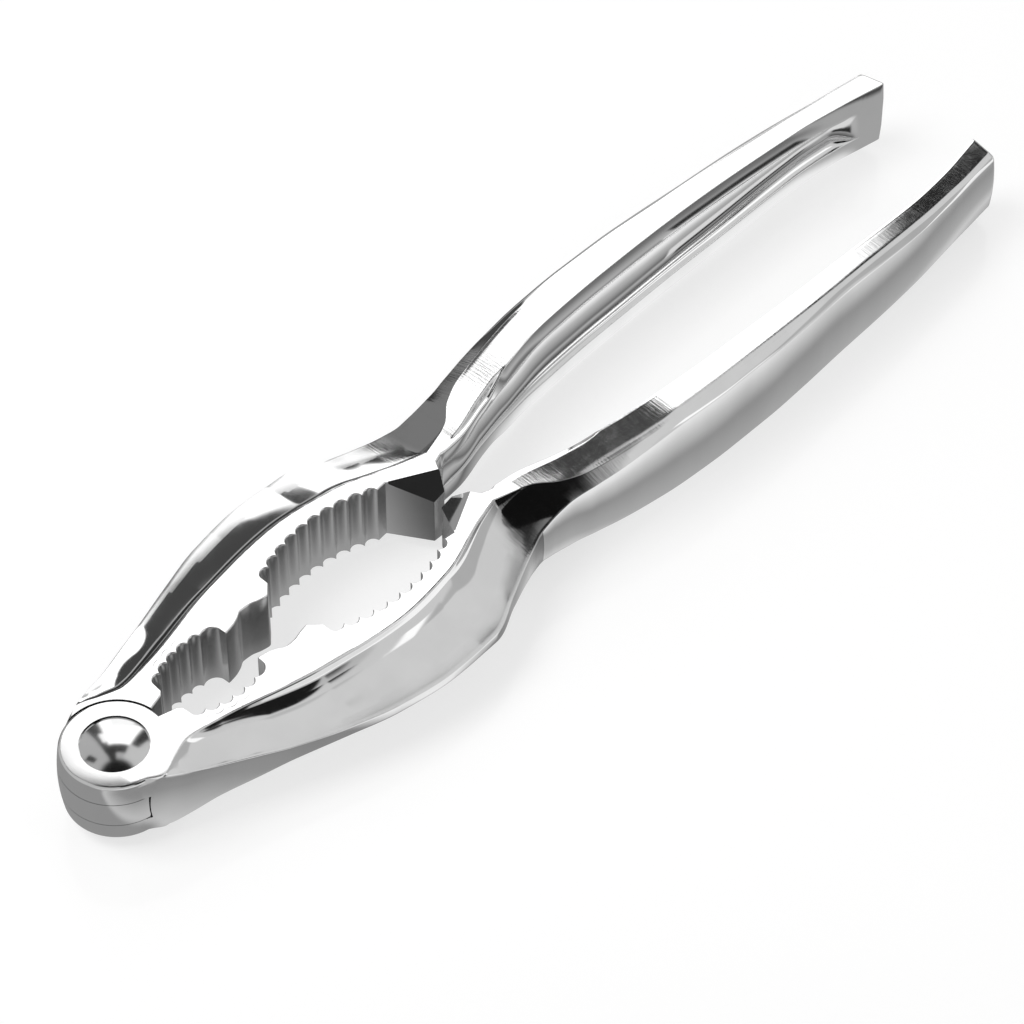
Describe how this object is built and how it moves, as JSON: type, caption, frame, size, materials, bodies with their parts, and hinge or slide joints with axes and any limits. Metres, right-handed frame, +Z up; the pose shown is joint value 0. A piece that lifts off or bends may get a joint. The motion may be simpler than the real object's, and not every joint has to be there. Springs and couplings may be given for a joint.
{
  "type": "crab cracker",
  "caption": "Plated lever cracker for crab and lobster claws: two levers on one rivet, with a small and a large toothed pocket between the jaws.",
  "frame": {"origin": "under the middle of the tool's bounding box, on the surface that it lies on", "axes": "+X from the rivet to the ends of the handles, +Y to the tongue lever, +Z up along the rivet"},
  "size_m": [0.1877, 0.0458, 0.0161],
  "materials": {
    "plated_lever": "polished plating over a zinc casting, lightly brushed",
    "rivet_steel": "mirror polished"
  },
  "bodies": {
    "fork_lever": {"fork_arm": "plated_lever", "pivot_rivet": "rivet_steel"},
    "tongue_lever": {"tongue_arm": "plated_lever"}
  },
  "joints": [
    {"name": "rivet_hinge", "type": "hinge", "parent": "fork_lever", "child": "tongue_lever", "pos_m": [-0.08535, 0, 0.00805], "axis": [0, 0, 1], "range_deg": [-1.2, 150]}
  ]
}
